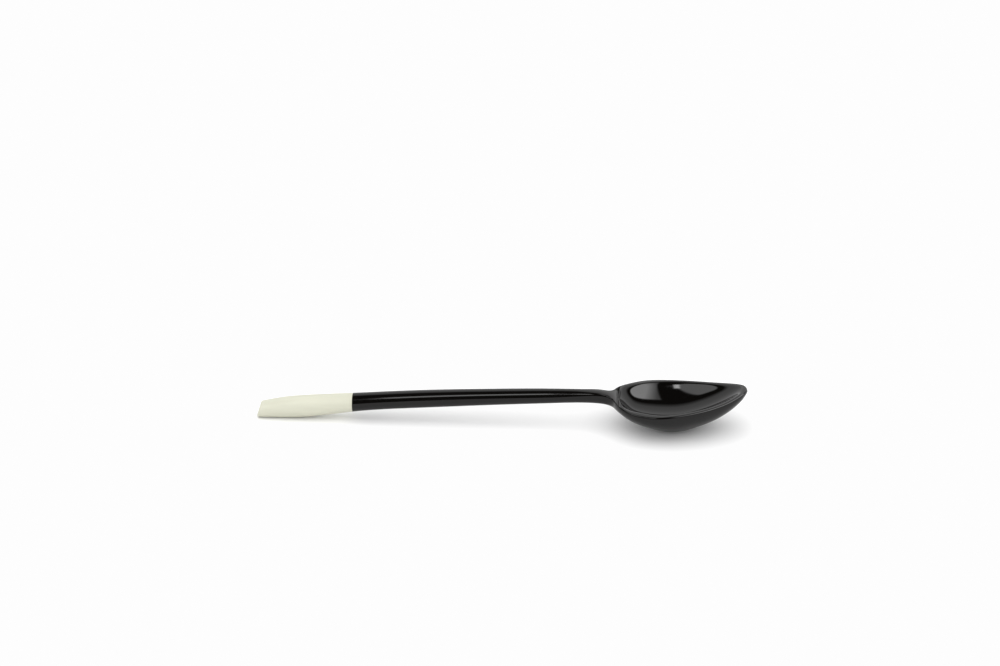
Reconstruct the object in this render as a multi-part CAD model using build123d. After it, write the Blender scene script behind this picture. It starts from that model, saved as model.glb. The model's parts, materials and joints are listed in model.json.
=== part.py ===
from build123d import *
import os
from math import acos, cos, degrees, hypot, pi, radians, sin
import numpy as np
from scipy.interpolate import CubicSpline
from scipy.optimize import brentq

# A table spoon with a pointed, egg-shaped bowl and a slim round handle, in mm.
# The origin is the centre of the bowl's flat foot, +X runs to the bowl's tip and +Z is up.
# The spoon lies on z = 0, on its foot and on the underside of the handle's end.

# Driving dimensions
TIP_X = 28.8              # front of the bowl
TIP_HEIGHT = 17.4         # height of the foremost point
TIP_CLOSING = 2.2         # how far behind the tip the rim starts to round over
WIDEST_X = -6.9           # where the bowl is widest
BOWL_BACK_X = -25.9       # back of the bowl's outline, inside the neck
HALF_WIDTH = 16.9         # half the bowl's width
FRONT_POWER = 1.39        # how early the outline starts to close towards the tip
TIP_BLUNTNESS = 0.54      # 0.5 is a round tip, 1 a sharp one
WIDEST_SOFTNESS = 0.1     # spreads the outline's turn at its widest place
NECK_HALF_WIDTH = 2.65
NECK_FILLET = 4.5         # radius of the inside corner where the neck meets the bowl
OUTER_ROUNDING = 0.75     # radius of the rim's outer edge
FLANK_LIFT = 0.07         # how much the bowl's flanks are slimmer than half an ellipse
FLANKS_FADE_IN = (-20, -8)
FLANKS_FADE_OUT = (6, 18)
STEM_ENDS_X = -50.0       # from here the round section flattens...
RIM_STARTS_X = -22.0      # ...until here, where it has the bowl's rim
STEM_ARCH_TURN = 45.0     # degrees that each shoulder of a section turns through, on the stem
RIM_ARCH_TURN = 86.0      # and on the bowl
SHOULDER_SHARE = 0.45     # the most of a section's half width that a rim's shoulder may take
NECK_X = -40.0            # where the straight stem starts to turn into the neck
JOINT_X = -131.8          # plane where the handle end meets the stem
END_X = -171.6            # lowest point of the handle's end face
END_SLANT = 17.0          # degrees that the end face leans back from vertical
PIN_RADIUS = 1.5
PIN_DEPTH = 12.0          # how far the pin reaches into each side
GLUE_SPACE = 0.5          # space left at the bottom of each pin hole

TABLE_CUTTER = (260, 60, 20)
TABLE_CUTTER_X = -70
END_CUTTER = (20, 30, 60)

# The hollow, cut down from the rim
HOLLOW_WIDEST_X = -4.5
HOLLOW_HALF_WIDTH = 14.7
HOLLOW_BACK_X = -23.0
HOLLOW_TIP_X = 26.6
HOLLOW_FRONT_POWER = 1.4
HOLLOW_BLUNTNESS = 0.6
HOLLOW_SOFTNESS = 0.14
HOLLOW_SPREAD = 1.5       # the walls would turn vertical this many half widths out
LEAST_DEPTH = 0.15        # the hollow's depth at its very ends
DOME_HEIGHT = 12.0        # how far the cutting shape stands above the rim
BELOW_POINTS = 13         # points that draw the lower half of a section
SECTIONS_BEHIND = 10      # sections of the hollow behind its widest place
SECTIONS_AHEAD = 12       # and ahead of it

# Lines of the side view and the top view, as (x, value) stations from the handle's end to the tip
UNDERSIDE = [
    (-173, 0.0), (-164, -0.15), (-155, 0.1), (-145, 1.3), (-131, 3.5), (-105, 5.95), (-75, 8.15),
    (-50, 9.75), (-34, 10.2), (-26, 9.1), (-17, 4.8), (-8, 1.0), (-1, -0.4), (6, 0.8), (14, 4.4), (21, 8.7),
    (26, 13.1), (TIP_X, 16.3),
]
TOP_LINE = [
    (-173, 6.0), (-163, 8.2), (-155, 9.2), (-145, 10.1), (-131, 11.25), (-105, 13.3), (-75, 14.9),
    (-50, 15.8), (-36, 15.9), (-30, 15.5), (-25, 14.3), (-20, 13.4), (-14, 13.35), (-8, 13.45),
    (1, 14.0), (10, 14.9), (19, 16.3), (26, 18.1), (TIP_X, 18.9),
]
HANDLE_HALF_WIDTH = [
    (-173, 3.7), (-160, 4.3), (-145, 4.25), (-131, 3.85), (-105, 3.65), (-75, 3.35), (-50, 3.0),
    (-38, NECK_HALF_WIDTH), (-28, NECK_HALF_WIDTH),
]
# Sections through the neck and the bowl's back, closest together where the outline turns fastest
NECK_STATIONS = [
    NECK_X, -37.5, -35.2, -33.2, -31.5, -30, -28.7, -27.5, -26.3, -25.2, -24.1, -22.8, -21.2, -19,
    -16.5, -13.5, -10,
]
FRONT_STATIONS_START = -6
FRONT_STATIONS = 14
STEM_STATIONS = [JOINT_X, -119, -105, -85, -65, -56, -50, -45, NECK_X]
HANDLE_STATIONS = [-173, -167, -160, -150, -140, JOINT_X]
HOLLOW_FLOOR = [
    (-26, 18.4), (-23, 13.2), (-20, 9.4), (-16, 7.1), (-11, 6.0), (-5, 5.6), (1, 6.0), (7, 7.4),
    (13, 9.7), (19, 12.9), (23.5, 16.0), (26.6, 18.5), (29, 20.8),
]


def curve_through(stations):
    """A smooth curve through (x, value) stations."""
    x, value = zip(*stations)
    return CubicSpline(x, value, bc_type="natural")


underside = curve_through(UNDERSIDE)
top_line = curve_through(TOP_LINE)
handle_half_width = curve_through(HANDLE_HALF_WIDTH)
hollow_floor = curve_through(HOLLOW_FLOOR)


def soft_power(share, power, softness):
    """share to a power, from 0 to 1, with the sharp turn at 0 spread over softness."""
    low = softness**power
    high = (1 + softness**2) ** (power / 2)
    return ((share**2 + softness**2) ** (power / 2) - low) / (high - low)


def egg_half_width(x):
    """Half width of an egg: an ellipse behind the widest place, a blunt point in front of it."""
    if x >= WIDEST_X:
        along = min((x - WIDEST_X) / (TIP_X - WIDEST_X), 1.0)
        return HALF_WIDTH * (1 - soft_power(along, FRONT_POWER, WIDEST_SOFTNESS)) ** TIP_BLUNTNESS
    along = min((WIDEST_X - x) / (WIDEST_X - BOWL_BACK_X), 1.0)
    return HALF_WIDTH * (1 - along**2) ** 0.5


def hollow_half_width(x):
    """Half width of the hollow at the rim's height."""
    if x >= HOLLOW_WIDEST_X:
        along = (x - HOLLOW_WIDEST_X) / (HOLLOW_TIP_X - HOLLOW_WIDEST_X)
        closing = soft_power(along, HOLLOW_FRONT_POWER, HOLLOW_SOFTNESS)
        return HOLLOW_HALF_WIDTH * (1 - closing) ** HOLLOW_BLUNTNESS
    along = (HOLLOW_WIDEST_X - x) / (HOLLOW_WIDEST_X - HOLLOW_BACK_X)
    return HOLLOW_HALF_WIDTH * (1 - along**2) ** 0.5


def neck_corner():
    """The circle that rounds the inside corner: tangent to the neck's side and to the egg's back."""
    length, width = WIDEST_X - BOWL_BACK_X, HALF_WIDTH

    def centre(turn):
        lean = hypot(width * cos(turn), length * sin(turn))
        out_x = width * cos(turn) / lean
        out_y = length * sin(turn) / lean
        back = WIDEST_X - length * cos(turn) - NECK_FILLET * out_x
        return back, width * sin(turn) + NECK_FILLET * out_y, back + NECK_FILLET * out_x

    touching = brentq(lambda turn: centre(turn)[1] - NECK_HALF_WIDTH - NECK_FILLET, 0, pi / 2)
    return centre(touching)


corner_x, corner_y, corner_end_x = neck_corner()


def half_width(x):
    """Half width of the handle, of the round inside corner, or of the bowl."""
    if x <= corner_x:
        return float(handle_half_width(x))
    if x <= corner_end_x:
        return corner_y - (NECK_FILLET**2 - (x - corner_x) ** 2) ** 0.5
    return egg_half_width(x)


def smooth_step(x, start, end):
    share = min(max((x - start) / (end - start), 0), 1)
    return share**2 * (3 - 2 * share)


def tip_share(x):
    """How much of its height the bowl keeps at x: all of it, until it rounds over at the tip."""
    short = min((TIP_X - x) / TIP_CLOSING, 1.0)
    return (1 - (1 - short) ** 2) ** 0.5


def skin_section(x):
    """The spoon cut across at x: a low arch with rounded shoulders over nearly half an ellipse.

    On the handle the arch is a half circle. Over the bowl it flattens into the rim's top face.
    """
    half = half_width(x)
    on_bowl = smooth_step(x, STEM_ENDS_X, RIM_STARTS_X)
    shoulder = half + (min(OUTER_ROUNDING, SHOULDER_SHARE * half) - half) * on_bowl
    turn = radians(STEM_ARCH_TURN + (RIM_ARCH_TURN - STEM_ARCH_TURN) * on_bowl)
    crown = shoulder + (half - shoulder) * (1 - sin(turn)) / cos(turn)
    top = TIP_HEIGHT + (float(top_line(x)) - TIP_HEIGHT) * tip_share(x)
    bottom = TIP_HEIGHT + (float(underside(x)) - TIP_HEIGHT) * tip_share(x)
    widest = top - crown
    drop = widest - bottom
    lift = FLANK_LIFT * smooth_step(x, *FLANKS_FADE_IN) * (1 - smooth_step(x, *FLANKS_FADE_OUT)) * drop
    side = (half - shoulder + shoulder * cos(turn), shoulder * sin(turn))
    across = Plane(origin=(x, 0, widest), x_dir=(0, 1, 0), z_dir=(1, 0, 0))
    bend = (half - shoulder + shoulder * cos(turn / 2), shoulder * sin(turn / 2))
    below = [
        (half * cos(angle), drop * sin(angle) + lift * sin(2 * angle) ** 2)
        for angle in np.linspace(-pi, 0, BELOW_POINTS)
    ]
    outline = [
        ThreePointArc((half, 0), bend, side),
        ThreePointArc(side, (0, crown), (-side[0], side[1])),
        ThreePointArc((-side[0], side[1]), (-bend[0], bend[1]), (-half, 0)),
        Spline(*below, tangents=((0, -1), (0, 1))),
    ]
    return across * make_face(Wire(outline))


def hollow_section(x):
    """The hollow cut across at x: a shallow elliptical arc up to the rim, and a dome above it."""
    half = hollow_half_width(x)
    rim = float(top_line(x))
    depth = max(rim - float(hollow_floor(x)), LEAST_DEPTH)
    fall = depth / (1 - (1 - HOLLOW_SPREAD**-2) ** 0.5)
    start = degrees(acos(1 / HOLLOW_SPREAD))
    spring = fall * sin(radians(start))
    across = Plane(origin=(x, 0, rim), x_dir=(0, 1, 0), z_dir=(1, 0, 0))
    floor = EllipticalCenterArc(
        (0, spring), HOLLOW_SPREAD * half, fall, 180 + start, arc_size=180 - 2 * start
    )
    dome = EllipticalCenterArc((0, 0), half, DOME_HEIGHT, 0, arc_size=180)
    return across * make_face(Wire([dome, floor]))


def closing_up(start, end, count):
    """Stations from start to just short of end, closing up as the outline rounds over."""
    turn = np.linspace(0, np.pi / 2, count)[:-1]
    return list(start + (end - start) * np.sin(turn))


def above_table(shape):
    """Cut flat at z = 0, which makes the bowl's foot and the handle end's resting face."""
    return shape - Pos(TABLE_CUTTER_X, 0, -TABLE_CUTTER[2] / 2) * Box(*TABLE_CUTTER)


def pin_axis():
    """The middle of the handle at the joint, as a plane whose z runs along the handle to the bowl."""
    middle = (top_line(JOINT_X) + underside(JOINT_X)) / 2
    slope = (top_line(JOINT_X, 1) + underside(JOINT_X, 1)) / 2
    return Plane(origin=(JOINT_X, 0, float(middle)), z_dir=(1, 0, float(slope)))


def pin_hole():
    """One straight drilling that both pieces share, a little deeper than the pin at both ends."""
    return pin_axis() * Cylinder(PIN_RADIUS, 2 * (PIN_DEPTH + GLUE_SPACE))


def bowl_hollow():
    behind = closing_up(HOLLOW_WIDEST_X, HOLLOW_BACK_X, SECTIONS_BEHIND)[:0:-1]
    ahead = closing_up(HOLLOW_WIDEST_X, HOLLOW_TIP_X, SECTIONS_AHEAD)
    return loft([hollow_section(x) for x in behind + ahead])


def stem():
    return loft([skin_section(x) for x in STEM_STATIONS]) - pin_hole()


def bowl():
    stations = NECK_STATIONS + closing_up(FRONT_STATIONS_START, TIP_X, FRONT_STATIONS)
    return above_table(loft([skin_section(x) for x in stations])) - bowl_hollow()


def spoon_body():
    return stem() + bowl()


def handle_end():
    blank = above_table(loft([skin_section(x) for x in HANDLE_STATIONS]))
    beyond = Pos(END_X, 0, 0) * Rot(0, END_SLANT, 0) * Pos(-END_CUTTER[0] / 2, 0, 0) * Box(*END_CUTTER)
    return blank - beyond - pin_hole()


def joint_pin():
    return pin_axis() * Cylinder(PIN_RADIUS, 2 * PIN_DEPTH)


os.makedirs("parts", exist_ok=True)
for make in (spoon_body, handle_end, joint_pin):
    export_step(make(), f"parts/{make.__name__}.step")
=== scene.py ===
import json
from collections import namedtuple
from math import cos, hypot, pi, radians, sin, sqrt, tan

import bmesh
import bpy
import numpy as np
from mathutils import Matrix, Vector

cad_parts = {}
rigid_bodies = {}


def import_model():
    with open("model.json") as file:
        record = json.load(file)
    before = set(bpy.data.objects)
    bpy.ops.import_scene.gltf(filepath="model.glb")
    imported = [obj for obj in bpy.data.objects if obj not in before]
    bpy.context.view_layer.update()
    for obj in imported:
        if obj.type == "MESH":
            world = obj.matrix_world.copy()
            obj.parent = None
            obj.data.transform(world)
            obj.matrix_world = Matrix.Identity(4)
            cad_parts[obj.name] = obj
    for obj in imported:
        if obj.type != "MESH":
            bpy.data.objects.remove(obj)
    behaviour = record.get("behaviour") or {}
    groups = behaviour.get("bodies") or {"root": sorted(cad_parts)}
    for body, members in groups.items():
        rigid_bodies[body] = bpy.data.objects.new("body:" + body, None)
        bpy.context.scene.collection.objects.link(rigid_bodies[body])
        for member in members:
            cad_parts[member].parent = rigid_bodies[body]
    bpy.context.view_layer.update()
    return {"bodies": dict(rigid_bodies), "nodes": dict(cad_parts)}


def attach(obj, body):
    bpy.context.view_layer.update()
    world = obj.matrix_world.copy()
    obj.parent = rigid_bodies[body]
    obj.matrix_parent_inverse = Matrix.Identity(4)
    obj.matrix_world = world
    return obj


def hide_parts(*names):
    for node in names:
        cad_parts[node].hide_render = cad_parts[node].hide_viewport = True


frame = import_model()

# Lengths in this script are millimetres until a mesh is made; Blender gets metres.
MM = 0.001

# Driving dimensions, as in the frame
TIP_X = 28.8              # front of the bowl
TIP_HEIGHT = 17.4         # height of the foremost point
TIP_CLOSING = 2.2         # how far behind the tip the rim starts to round over
WIDEST_X = -6.9           # where the bowl is widest
BOWL_BACK_X = -25.9       # back of the bowl's outline, inside the neck
HALF_WIDTH = 16.9         # half the bowl's width
FRONT_POWER = 1.39        # how early the outline starts to close towards the tip
TIP_BLUNTNESS = 0.54      # 0.5 is a round tip, 1 a sharp one
WIDEST_SOFTNESS = 0.1     # spreads the outline's turn at its widest place
NECK_HALF_WIDTH = 2.65
NECK_FILLET = 4.5         # radius of the inside corner where the neck meets the bowl
OUTER_ROUNDING = 0.75     # radius of the rim's outer edge
FOOT_ROUNDING = 0.25      # softens the edge of the flat that the spoon rests on
FLANK_LIFT = 0.07         # how much the bowl's flanks are slimmer than half an ellipse
FLANKS_FADE_IN = (-20, -8)
FLANKS_FADE_OUT = (6, 18)
STEM_ENDS_X = -50.0       # from here the round section flattens...
RIM_STARTS_X = -22.0      # ...until here, where it has the bowl's rim
STEM_ARCH_TURN = 45.0     # degrees that each shoulder of a section turns through, on the stem
RIM_ARCH_TURN = 86.0      # and on the bowl
SHOULDER_SHARE = 0.45     # the most of a section's half width that a rim's shoulder may take
JOINT_X = -131.8          # plane where the handle end meets the stem
JOINT_ROUNDING = 0.12     # the fine groove where the two meet
END_X = -171.6            # lowest point of the handle's end face
END_SLANT = 17.0          # degrees that the end face leans back from vertical
END_ROUNDING = 0.9
SLANT_START_X = -150.0    # from here the rings lean more and more towards the end face
PIN_RADIUS = 1.5
PIN_HOLE_DEPTH = 12.5

# The hollow
HOLLOW_WIDEST_X = -4.5
HOLLOW_HALF_WIDTH = 14.7
HOLLOW_BACK_X = -23.0
HOLLOW_TIP_X = 26.6
HOLLOW_FRONT_POWER = 1.4
HOLLOW_BLUNTNESS = 0.6
HOLLOW_SOFTNESS = 0.14
HOLLOW_SPREAD = 1.5       # the walls would turn vertical this many half widths out
LEAST_HALF_WIDTH = 0.01   # stands for a half width of 0 behind and ahead of the hollow
INNER_ROUNDING = 1.8      # how widely the rim's inner edge is rounded along the sides
INNER_ROUNDING_BACK = 7.5
BACK_EDGE = (-23, -13)    # the rounding grows from the second of these places to the first

# Lines of the side view and the top view, as (x, value) stations from the handle's end to the tip
UNDERSIDE = [
    (-173, 0.0), (-164, -0.15), (-155, 0.1), (-145, 1.3), (-131, 3.5), (-105, 5.95), (-75, 8.15),
    (-50, 9.75), (-34, 10.2), (-26, 9.1), (-17, 4.8), (-8, 1.0), (-1, -0.4), (6, 0.8), (14, 4.4), (21, 8.7),
    (26, 13.1), (TIP_X, 16.3),
]
TOP_LINE = [
    (-173, 6.0), (-163, 8.2), (-155, 9.2), (-145, 10.1), (-131, 11.25), (-105, 13.3), (-75, 14.9),
    (-50, 15.8), (-36, 15.9), (-30, 15.5), (-25, 14.3), (-20, 13.4), (-14, 13.35), (-8, 13.45),
    (1, 14.0), (10, 14.9), (19, 16.3), (26, 18.1), (TIP_X, 18.9),
]
HANDLE_HALF_WIDTH = [
    (-173, 3.7), (-160, 4.3), (-145, 4.25), (-131, 3.85), (-105, 3.65), (-75, 3.35), (-50, 3.0),
    (-38, NECK_HALF_WIDTH), (-28, NECK_HALF_WIDTH),
]
HOLLOW_FLOOR = [
    (-30, 25.5), (-26, 18.4), (-23, 13.2), (-20, 9.4), (-16, 7.1), (-11, 6.0), (-5, 5.6), (1, 6.0),
    (7, 7.4), (13, 9.7), (19, 12.9), (23.5, 16.0), (26.6, 18.5), (29, 20.8),
]

# How finely a half ring is divided: below, round the shoulder, along the rim and across the hollow
LOWER_STEPS = 44
SHOULDER_STEPS = 8
BAND_STEPS = 14
HOLLOW_STEPS = 26
BAND_CROWDING = 1.3       # above 1, the rim's points crowd towards its inner edge
EDGE_SHARES = (0.35, 0.9)  # the least and the most of the top face that the hollow's points may take

# Where the rings stand: steps away from the joint, then runs of (start, end, count), closest together
# where the neck opens into the bowl
JOINT_STEPS = (JOINT_ROUNDING, 0.3, 0.7, 1.5)
RUNS_START = 3            # distance from the joint to the first run
RUNS = [(JOINT_X + RUNS_START, -41, 34), (-40, -29.6, 18), (-29, -20, 46), (-19.6, 18.6, 72)]
TIP_RUN_X = 19
TIP_RUN_RINGS = 60
HANDLE_RINGS = 30
END_RINGS = 9
END_FACE_RINGS = (0.8, 0.5, 0.2)
HOLE_BOTTOM_RINGS = (0.05, 0.5, 0.94)
HOLE_CORNER = 0.1
JOINT_FACE_RINGS = (0.1, 0.5, 0.9)
JOINT_EDGE_TURNS = (0, 30, 60)

# The view: the foot of the bowl sits right of the middle of the picture and below it
VIEW_ELEVATION = 26.5
VIEW_YAW = 3.37
VIEW_DISTANCE = 963.7
FOOT_RIGHT = 71.3
FOOT_UP = -38.3
LENS_MM = 85.0
SENSOR_MM = 36
CLIP_START_M = 0.01

# Colours and finishes
BLACK = (0.0028, 0.0025, 0.0022, 1)
BLACK_IOR = 1.45
BLACK_ROUGHNESS = (0.05, 0.085)
CREAM_DULL = (0.56, 0.558, 0.455, 1)
CREAM_WARM = (0.60, 0.598, 0.49, 1)
CREAM_ROUGHNESS = 0.5
BRASS = (0.72, 0.5, 0.22, 1)
BRASS_ROUGHNESS = (0.25, 0.5)

# The floor and its light
FLOOR_REACH_M = 4.0
FLOOR_WHITE = 0.9
FLOOR_MIRRORED = 0.6      # how white the floor is in the gloss
WHITE_LEVEL = 0.983       # the picture's brightest white
DOME_LEVEL = 0.92
KEY_PLACE_M = (-0.05, -0.3, 0.9)
KEY_SIZE_M = 1.9
KEY_POWER = 9.5

# Panels that the gloss mirrors. "over" counts degrees from the far horizon over the top, and "aside" degrees
# to the camera's right. The fades soften the edges. A lean slants the edge nearer the middle, which passes
# its own "aside" at LEAN_OVER.
LEAN_OVER = 100.0
Panel = namedtuple("Panel", "over aside over_fade aside_fade lean level")
FAR_WALL = Panel((-5, 69), (-200, 200), 7, 2, 0, 1.0)
RIGHT_WINDOW = Panel((88, 150), (15, 80), 2, 8, 0, 3.8)
RIGHT_WALL = Panel((88, 150), (4.5, 80), 2, 1.5, 0.15, 1.3)
LEFT_WINDOW = Panel((91, 130), (-50, -28.3), 2, 1.5, 0.45, 2.2)
SMALL_LAMP = Panel((116.5, 120.5), (-22, -16.5), 0.8, 1, 0, 9)
PANELS = [FAR_WALL, RIGHT_WINDOW, RIGHT_WALL, LEFT_WINDOW, SMALL_LAMP]

# The strip of light that draws the bright line along the stem
STRIP_OVER = 126.5        # degrees, counted as for the panels
STRIP_SPREAD = 15         # degrees that it covers from its near edge to its far one
STRIP_DISTANCE = 900
STRIP_ASIDE = -225
STRIP_WIDTH = 220
STRIP_LEVEL = 3.3


def curve_through(stations):
    """A smooth curve through (x, value) stations: the natural cubic spline."""
    x, value = np.array(stations, float).T
    step = np.diff(x)
    count = len(x)
    matrix = np.eye(count)
    right = np.zeros(count)
    for i in range(1, count - 1):
        matrix[i, i - 1 : i + 2] = step[i - 1], 2 * (step[i - 1] + step[i]), step[i]
        right[i] = 6 * ((value[i + 1] - value[i]) / step[i] - (value[i] - value[i - 1]) / step[i - 1])
    bend = np.linalg.solve(matrix, right)

    def at(where):
        where = np.asarray(where, float)
        i = np.clip(np.searchsorted(x, where) - 1, 0, count - 2)
        t = where - x[i]
        slope = (value[i + 1] - value[i]) / step[i] - step[i] * (2 * bend[i] + bend[i + 1]) / 6
        return value[i] + t * slope + t**2 * bend[i] / 2 + t**3 * (bend[i + 1] - bend[i]) / (6 * step[i])

    return at


underside = curve_through(UNDERSIDE)
top_line = curve_through(TOP_LINE)
handle_half_width = curve_through(HANDLE_HALF_WIDTH)
hollow_floor = curve_through(HOLLOW_FLOOR)


def smooth_min(a, b, size):
    """The smaller of a and b, with the corner between them rounded over about size."""
    near = np.clip(size - np.abs(a - b), 0, None) / size
    return np.minimum(a, b) - near**2 * size / 4


def smoother_min(a, b, size):
    """As smooth_min, but the bend also starts and ends gently."""
    near = np.clip(size - np.abs(a - b), 0, None) / size
    return np.minimum(a, b) - near**3 * size / 6


def smooth_step(x, start, end):
    """0 up to start, 1 from end on, and a gentle rise between them."""
    share = np.clip((x - start) / (end - start), 0, 1)
    return share**2 * (3 - 2 * share)


def soft_power(share, power, softness):
    """share to a power, from 0 to 1, with the sharp turn at 0 spread over softness."""
    low = softness**power
    high = (1 + softness**2) ** (power / 2)
    return ((share**2 + softness**2) ** (power / 2) - low) / (high - low)


def egg_half_width(x):
    """Half width of an egg: an ellipse behind the widest place, a blunt point in front of it."""
    ahead = np.clip((x - WIDEST_X) / (TIP_X - WIDEST_X), 0, 1)
    behind = np.clip((WIDEST_X - x) / (WIDEST_X - BOWL_BACK_X), 0, 1)
    front = (1 - soft_power(ahead, FRONT_POWER, WIDEST_SOFTNESS)) ** TIP_BLUNTNESS
    return HALF_WIDTH * np.where(x >= WIDEST_X, front, np.sqrt(1 - behind**2))


def hollow_half_width(x):
    """Half width of the hollow at the rim's height, which is 0 behind and ahead of the hollow."""
    ahead = np.clip((x - HOLLOW_WIDEST_X) / (HOLLOW_TIP_X - HOLLOW_WIDEST_X), 0, 1)
    behind = np.clip((HOLLOW_WIDEST_X - x) / (HOLLOW_WIDEST_X - HOLLOW_BACK_X), 0, 1)
    front = (1 - soft_power(ahead, HOLLOW_FRONT_POWER, HOLLOW_SOFTNESS)) ** HOLLOW_BLUNTNESS
    return HOLLOW_HALF_WIDTH * np.where(x >= HOLLOW_WIDEST_X, front, np.sqrt(1 - behind**2))


def neck_corner():
    """Centre and end of the circle tangent to the neck's side and to the egg's back."""
    length, width = WIDEST_X - BOWL_BACK_X, HALF_WIDTH
    low, high = 0.0, pi / 2
    halvings = 60
    for _ in range(halvings):
        turn = (low + high) / 2
        lean = hypot(width * cos(turn), length * sin(turn))
        rise = width * sin(turn) + NECK_FILLET * length * sin(turn) / lean
        if rise > NECK_HALF_WIDTH + NECK_FILLET:
            high = turn
        else:
            low = turn
    end = WIDEST_X - length * cos(turn)
    return end - NECK_FILLET * width * cos(turn) / lean, NECK_HALF_WIDTH + NECK_FILLET, end


corner_x, corner_y, corner_end_x = neck_corner()


def half_width(x):
    """Half width of the handle, of the round inside corner, or of the bowl."""
    drop = np.sqrt(np.clip(NECK_FILLET**2 - (x - corner_x) ** 2, 0, None))
    beyond_neck = np.where(x <= corner_end_x, corner_y - drop, egg_half_width(x))
    return np.where(x <= corner_x, handle_half_width(x), beyond_neck)


def hollow_wall(x, y):
    """Height of the hollow's surface at (x, y), rising past the rim outside the hollow."""
    floor = float(hollow_floor(x))
    depth = float(top_line(x)) - floor
    if depth <= 0:
        return floor + 0 * y
    half = max(float(hollow_half_width(x)), LEAST_HALF_WIDTH)
    share = np.clip(np.abs(y) / half / HOLLOW_SPREAD, 0, 1)
    return floor + depth * (1 - np.sqrt(1 - share**2)) / (1 - sqrt(1 - HOLLOW_SPREAD**-2))


def inner_rounding(x):
    """The rim's inner edge is crisp along the sides and melts into the neck at the back."""
    at_back = 1 - float(smooth_step(x, *BACK_EDGE))
    return INNER_ROUNDING + (INNER_ROUNDING_BACK - INNER_ROUNDING) * at_back


def lower_half(x, half, drop):
    """Nearly half an ellipse below the widest height, a little slimmer on the bowl's flanks."""
    below = np.linspace(-pi / 2, 0, LOWER_STEPS + 1)[:-1]
    fade = float(smooth_step(x, *FLANKS_FADE_IN) * (1 - smooth_step(x, *FLANKS_FADE_OUT)))
    height = drop * np.sin(below) + FLANK_LIFT * fade * drop * np.sin(2 * below) ** 2
    return np.stack([half * np.cos(below), height], 1)


def shoulder_arc(flat, shoulder, turn):
    """The rounding from the widest height up to the top face."""
    around = np.linspace(0, turn, SHOULDER_STEPS + 1)[:-1]
    return np.stack([flat + shoulder * np.cos(around), shoulder * np.sin(around)], 1)


def top_face(x, widest, flat, shoulder, turn):
    """The low arch between the shoulders, with the hollow cut down into it, as far as the middle."""
    start = flat + shoulder * cos(turn)
    least, most = EDGE_SHARES
    edge = min(max(float(hollow_half_width(x)), least * start), most * start)
    band = edge + (start - edge) * np.linspace(1, 0, BAND_STEPS + 1)[:-1] ** BAND_CROWDING
    inside = edge * np.sin(np.linspace(pi / 2, 0, HOLLOW_STEPS + 1))
    across = np.concatenate([band, inside])
    arch = np.sqrt((shoulder + flat / cos(turn)) ** 2 - across**2) - flat * tan(turn)
    if x > HOLLOW_FLOOR[0][0]:
        arch = smoother_min(arch, hollow_wall(x, across) - widest, inner_rounding(x))
    return np.stack([across, arch], 1)


def half_ring(x):
    """The right half of a ring across the spoon at x, from the bottom middle to the top middle."""
    half = float(half_width(x))
    on_bowl = float(smooth_step(x, STEM_ENDS_X, RIM_STARTS_X))
    shoulder = half + (min(OUTER_ROUNDING, SHOULDER_SHARE * half) - half) * on_bowl
    turn = radians(STEM_ARCH_TURN + (RIM_ARCH_TURN - STEM_ARCH_TURN) * on_bowl)
    flat = half - shoulder
    crown = shoulder + flat * (1 - sin(turn)) / cos(turn)
    widest = float(top_line(x)) - crown
    parts = [
        lower_half(x, half, widest - float(underside(x))),
        shoulder_arc(flat, shoulder, turn),
        top_face(x, widest, flat, shoulder, turn),
    ]
    across, height = np.concatenate(parts).T
    short = min(max((TIP_X - x) / TIP_CLOSING, 0), 1)
    height = TIP_HEIGHT + (widest + height - TIP_HEIGHT) * sqrt(1 - (1 - short) ** 2)
    return np.stack([across, -smooth_min(-height, 0 * height, FOOT_ROUNDING)], 1)


def ring(x):
    """A whole ring of points round the spoon at x."""
    right = half_ring(x)
    left = right[-2:0:-1] * (-1, 1)
    flat_ring = np.concatenate([right, left])
    return np.column_stack([np.full(len(flat_ring), x), flat_ring])


def shrunk(points, distance):
    """A ring drawn in towards its middle by a distance."""
    middle = (points.max(0) + points.min(0)) / 2
    out = points - middle
    reach = np.linalg.norm(out, axis=1, keepdims=True)
    return middle + out * np.clip(1 - distance / reach, 0, 1)


def pin_line():
    """A point on the pin's axis at the joint, and the axis's direction towards the bowl."""
    middle = float(top_line(JOINT_X) + underside(JOINT_X)) / 2
    rise = float(top_line(JOINT_X + 1) + underside(JOINT_X + 1)) / 2 - middle
    return np.array([JOINT_X, 0, middle]), np.array([1, 0, rise]) / hypot(1, rise)


def joint_face(outer, into):
    """Rings from the bottom of the pin hole, out of its mouth and over the joint face to the skin.

    into is 1 for the piece on the bowl's side of the joint and -1 for the other.
    """
    centre, along = pin_line()
    angle = np.arctan2(outer[:, 2] - centre[2], outer[:, 1])
    circle = np.column_stack([0 * angle, np.cos(angle), np.sin(angle)])
    bottom = centre + into * PIN_HOLE_DEPTH * along
    near_bottom = centre + into * (PIN_HOLE_DEPTH - HOLE_CORNER) * along
    mouth = centre + PIN_RADIUS * circle
    face = shrunk(outer, JOINT_ROUNDING)
    rings = [bottom + PIN_RADIUS * share * circle for share in HOLE_BOTTOM_RINGS]
    rings += [near_bottom + PIN_RADIUS * circle, mouth]
    rings += [mouth + (face - mouth) * share for share in JOINT_FACE_RINGS]
    for turn in JOINT_EDGE_TURNS:
        rounded = shrunk(outer, JOINT_ROUNDING * (1 - sin(radians(turn))))
        rounded[:, 0] = JOINT_X + into * JOINT_ROUNDING * (1 - cos(radians(turn)))
        rings.append(rounded)
    return rings


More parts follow.
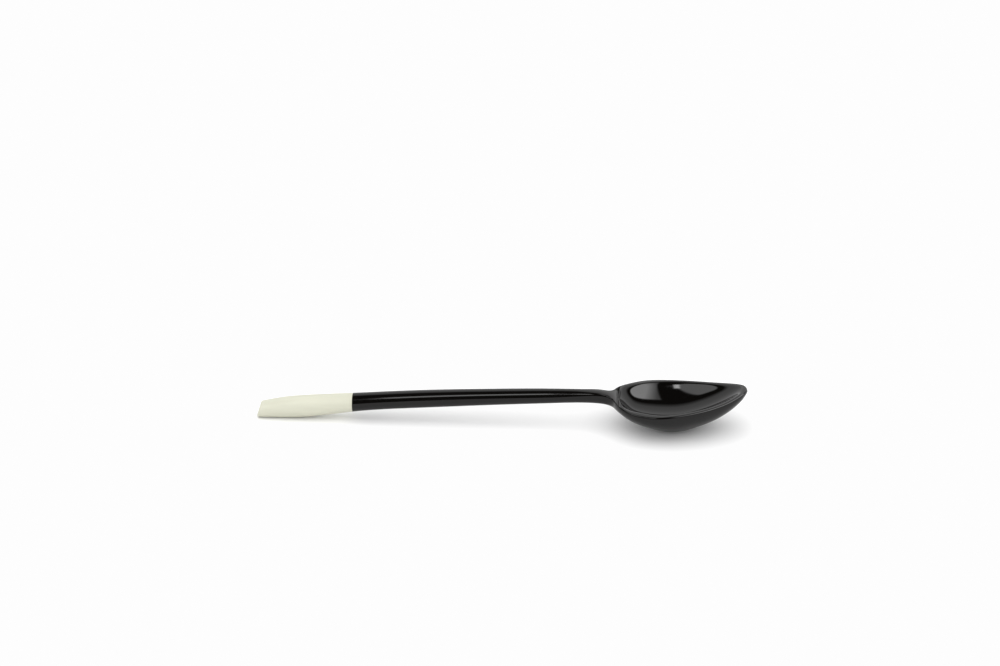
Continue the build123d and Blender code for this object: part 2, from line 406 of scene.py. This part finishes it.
def end_face(last):
    """Rings that round the handle's end over from its last ring and close in on the end face."""
    rings = []
    for turn in np.linspace(0, pi / 2, END_RINGS)[1:]:
        rounded = shrunk(last, END_ROUNDING * (1 - cos(turn)))
        rounded[:, 0] = END_X + END_ROUNDING * (1 - sin(turn))
        rings.append(rounded)
    face = rings[-1]
    middle = (face.max(0) + face.min(0)) / 2
    return rings + [middle + (face - middle) * share for share in END_FACE_RINGS]


def add_object(name, data):
    made = bpy.data.objects.new(name, data)
    bpy.context.scene.collection.objects.link(made)
    return made


def tube(name, rings):
    """A closed mesh through rings of equal length, with a fan at each end."""
    points = np.concatenate(rings)
    around, count = len(rings[0]), len(rings)
    ends = [rings[0].mean(0), rings[-1].mean(0)]
    verts = np.concatenate([points, ends]) * MM
    faces = []
    for i in range(count - 1):
        for j in range(around):
            after = (j + 1) % around
            faces.append((i * around + j, (i + 1) * around + j, (i + 1) * around + after, i * around + after))
    first, last = count * around, count * around + 1
    for j in range(around):
        after = (j + 1) % around
        faces.append((first, j, after))
        faces.append((last, (count - 1) * around + after, (count - 1) * around + j))
    mesh = bpy.data.meshes.new(name)
    mesh.from_pydata(verts.tolist(), [], faces)
    mesh.validate()
    bm = bmesh.new()
    bm.from_mesh(mesh)
    bmesh.ops.recalc_face_normals(bm, faces=bm.faces)
    bm.to_mesh(mesh)
    bm.free()
    mesh.shade_smooth()
    return add_object(name, mesh)


def rectangle(name, corners):
    """A flat four-cornered object, with its corners in metres."""
    mesh = bpy.data.meshes.new(name)
    mesh.from_pydata([tuple(corner) for corner in corners], [], [(0, 1, 2, 3)])
    return add_object(name, mesh)


def spoon_skin():
    """The black piece: from the joint along the stem and the bowl to the tip."""
    places = [JOINT_X + step for step in JOINT_STEPS]
    for start, end, count in RUNS:
        places += list(np.linspace(start, end, count))
    turn = np.linspace(0, pi / 2, TIP_RUN_RINGS)[:-1]
    places += list(TIP_RUN_X + (TIP_X - TIP_RUN_X) * np.sin(turn))
    return tube("spoon_skin", joint_face(ring(JOINT_X), 1) + [ring(x) for x in places])


def handle_skin():
    """The cream piece: from the joint to the slanted end face."""
    places = [JOINT_X - step for step in JOINT_STEPS]
    places += list(np.linspace(JOINT_X - RUNS_START, END_X + END_ROUNDING, HANDLE_RINGS))
    rings = joint_face(ring(JOINT_X), -1) + [ring(x) for x in places]
    rings += end_face(rings[-1])
    for points in rings:
        lean = 1 - smooth_step(points[:, 0], END_X, SLANT_START_X)
        points[:, 0] += points[:, 2] * tan(radians(END_SLANT)) * lean
    return tube("handle_end_skin", rings)


def node(tree, kind, inputs=None, **settings):
    """Add a node, set its properties, and feed its inputs with values or other nodes' outputs."""
    made = tree.nodes.new(kind)
    for name, value in settings.items():
        setattr(made, name, value)
    for key, value in (inputs or {}).items():
        if isinstance(value, bpy.types.NodeSocket):
            tree.links.new(value, made.inputs[key])
        else:
            made.inputs[key].default_value = value
    return made


def maths(tree, operation, *values):
    return node(tree, "ShaderNodeMath", dict(enumerate(values)), operation=operation).outputs[0]


def ramp(tree, value, given, wanted):
    """Map the given range of a value, as (low, high), onto the wanted one."""
    return node(tree, "ShaderNodeMapRange", {
        "Value": value, "From Min": given[0], "From Max": given[1], "To Min": wanted[0], "To Max": wanted[1],
    }).outputs[0]


def noise(tree, scale, detail, stretch=(1, 1, 1)):
    place = node(tree, "ShaderNodeTexCoord").outputs["Object"]
    mapped = node(tree, "ShaderNodeMapping", {"Vector": place, "Scale": stretch}).outputs[0]
    return node(tree, "ShaderNodeTexNoise", {"Vector": mapped, "Scale": scale, "Detail": detail}).outputs[0]


def new_material(name):
    material = bpy.data.materials.new(name)
    material.use_nodes = True
    shader = material.node_tree.nodes["Principled BSDF"]
    return material, material.node_tree, shader


def black_gloss():
    """Polished black, a little duller in patches."""
    material, tree, shader = new_material("black_gloss")
    shader.inputs["Base Color"].default_value = BLACK
    shader.inputs["IOR"].default_value = BLACK_IOR
    patches = noise(tree, scale=60, detail=3)
    tree.links.new(ramp(tree, patches, (0.35, 0.7), BLACK_ROUGHNESS), shader.inputs["Roughness"])
    return material


def cream_matt():
    """Fine-grained greenish cream, with the grain along the handle."""
    material, tree, shader = new_material("cream_matt")
    shader.inputs["Roughness"].default_value = CREAM_ROUGHNESS
    grain = noise(tree, scale=400, detail=4, stretch=(0.12, 1, 1))
    mix = node(tree, "ShaderNodeMix", {
        "Factor": ramp(tree, grain, (0.3, 0.7), (0, 1)), "A": CREAM_DULL, "B": CREAM_WARM,
    }, data_type="RGBA")
    tree.links.new(mix.outputs["Result"], shader.inputs["Base Color"])
    return material


def pin_brass():
    """Brass rod, scored for the glue."""
    material, tree, shader = new_material("pin_brass")
    shader.inputs["Base Color"].default_value = BRASS
    shader.inputs["Metallic"].default_value = 1
    scratches = noise(tree, scale=900, detail=2, stretch=(1, 0.05, 1))
    tree.links.new(ramp(tree, scratches, (0.3, 0.7), BRASS_ROUGHNESS), shader.inputs["Roughness"])
    return material


def floor_white():
    """Matt white, and a little darker where the gloss mirrors it."""
    material, tree, shader = new_material("floor_white")
    mirrored = node(tree, "ShaderNodeLightPath").outputs["Is Glossy Ray"]
    white = ramp(tree, mirrored, (0, 1), (FLOOR_WHITE, FLOOR_MIRRORED))
    tree.links.new(white, shader.inputs["Base Color"])
    shader.inputs["Roughness"].default_value = 1
    shader.inputs["Specular IOR Level"].default_value = 0
    return material


def strip_glow():
    material = bpy.data.materials.new("strip_glow")
    material.use_nodes = True
    tree = material.node_tree
    tree.nodes.clear()
    glow = node(tree, "ShaderNodeEmission", {"Strength": STRIP_LEVEL})
    node(tree, "ShaderNodeOutputMaterial", {0: glow.outputs[0]})
    return material


def view_axes():
    """The camera's right, up and forward directions."""
    lean, yaw = radians(VIEW_ELEVATION), radians(VIEW_YAW)
    level = Vector((-sin(yaw), cos(yaw), 0))
    right = Vector((cos(yaw), sin(yaw), 0))
    forward = level * cos(lean) + Vector((0, 0, -sin(lean)))
    return right, right.cross(forward), forward


def add_camera():
    right, up, forward = view_axes()
    data = bpy.data.cameras.new("camera")
    data.lens = LENS_MM
    data.sensor_width = SENSOR_MM
    data.clip_start = CLIP_START_M
    camera = add_object("camera", data)
    place = -(right * FOOT_RIGHT + up * FOOT_UP + forward * VIEW_DISTANCE)
    rotation = Matrix((right, up, -forward)).transposed()
    camera.matrix_world = Matrix.LocRotScale(place * MM, rotation, None)
    bpy.context.scene.camera = camera


def panel_light(tree, over, aside, panel):
    """How brightly a panel shines from the direction (over, aside)."""
    lean = maths(tree, "MULTIPLY", maths(tree, "SUBTRACT", over, LEAN_OVER), panel.lean)
    leaning = maths(tree, "SUBTRACT", aside, lean)
    left, right = (leaning, aside) if panel.aside[0] > 0 else (aside, leaning)
    light = panel.level
    for value, edge, fade, across in [
        (over, panel.over[0], panel.over_fade, (0, 1)),
        (over, panel.over[1], panel.over_fade, (1, 0)),
        (left, panel.aside[0], panel.aside_fade, (0, 1)),
        (right, panel.aside[1], panel.aside_fade, (1, 0)),
    ]:
        light = maths(tree, "MULTIPLY", ramp(tree, value, (edge - fade, edge + fade), across), light)
    return light


def studio_world():
    """A plain white dome for the floor, and a studio of soft panels for the gloss to mirror."""
    world = bpy.data.worlds.new("studio")
    bpy.context.scene.world = world
    world.use_nodes = True
    tree = world.node_tree
    tree.nodes.clear()
    direction = node(tree, "ShaderNodeTexCoord").outputs["Generated"]
    turned = node(tree, "ShaderNodeVectorRotate", {
        "Vector": direction, "Angle": -radians(VIEW_YAW), "Axis": (0, 0, 1),
    }).outputs[0]
    split = node(tree, "ShaderNodeSeparateXYZ", {0: turned}).outputs
    over = maths(tree, "MULTIPLY", maths(tree, "ARCTAN2", split["Z"], split["Y"]), 180 / pi)
    aside = maths(tree, "MULTIPLY", maths(tree, "ARCSINE", split["X"]), 180 / pi)
    total = 0.0
    for panel in PANELS:
        total = maths(tree, "ADD", panel_light(tree, over, aside, panel), total)
    mirrored = node(tree, "ShaderNodeBackground", {"Color": (1, 1, 1, 1), "Strength": total})
    dome = node(tree, "ShaderNodeBackground", {"Color": (1, 1, 1, 1), "Strength": DOME_LEVEL})
    glossy = node(tree, "ShaderNodeLightPath").outputs["Is Glossy Ray"]
    mix = node(tree, "ShaderNodeMixShader", {0: glossy, 1: dome.outputs[0], 2: mirrored.outputs[0]})
    node(tree, "ShaderNodeOutputWorld", {0: mix.outputs[0]})


def strip_light():
    """A bright strip over the camera, near enough to shift along the spoon, seen only by the gloss."""
    right, _, forward = view_axes()
    level = Vector((forward.x, forward.y, 0)).normalized()
    over = radians(STRIP_OVER)
    out = level * cos(over) + Vector((0, 0, sin(over)))
    along = level * -sin(over) + Vector((0, 0, cos(over)))
    middle = (right * STRIP_ASIDE + out * STRIP_DISTANCE) * MM
    wide = right * STRIP_WIDTH * MM / 2
    tall = along * STRIP_DISTANCE * tan(radians(STRIP_SPREAD / 2)) * MM
    corners = [middle - wide - tall, middle + wide - tall, middle + wide + tall, middle - wide + tall]
    strip = rectangle("strip_light", corners)
    strip.data.materials.append(strip_glow())
    for kind in ("camera", "diffuse", "transmission", "volume_scatter", "shadow"):
        setattr(strip, "visible_" + kind, False)


def add_floor():
    signs = [(-1, -1), (1, -1), (1, 1), (-1, 1)]
    floor = rectangle("floor", [(x * FLOOR_REACH_M, y * FLOOR_REACH_M, 0) for x, y in signs])
    floor.data.materials.append(floor_white())


def key_light():
    """A square light looking at the spoon, hidden from mirrors, which see the world's panels."""
    data = bpy.data.lights.new("key", "AREA")
    data.size = KEY_SIZE_M
    data.energy = KEY_POWER
    light = add_object("key", data)
    light.location = KEY_PLACE_M
    light.rotation_euler = (-Vector(KEY_PLACE_M)).to_track_quat("-Z", "Y").to_euler()
    light.visible_glossy = False
    light.visible_camera = False


def clip_whites():
    """Show everything brighter than WHITE_LEVEL as that one white, and leave the rest alone."""
    view = bpy.context.scene.view_settings
    view.view_transform = "Standard"
    view.use_curve_mapping = True
    curve = view.curve_mapping.curves[3]
    curve.points[1].location = (WHITE_LEVEL, WHITE_LEVEL)
    curve.points.new(1.0, WHITE_LEVEL)
    for point in curve.points:
        point.handle_type = "VECTOR"
    view.curve_mapping.extend = "HORIZONTAL"
    view.curve_mapping.update()


def finish_piece(piece, material, replaced):
    piece.data.materials.append(material)
    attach(piece, list(frame["bodies"])[0])
    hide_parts(replaced)


def finish_pin():
    """The pin keeps its shape from the frame and only gets its brass."""
    pin = frame["nodes"]["joint_pin"]
    pin.data.materials.clear()
    pin.data.materials.append(pin_brass())


finish_piece(spoon_skin(), black_gloss(), "spoon_body")
finish_piece(handle_skin(), cream_matt(), "handle_end")
finish_pin()
add_camera()
studio_world()
add_floor()
strip_light()
key_light()
clip_whites()
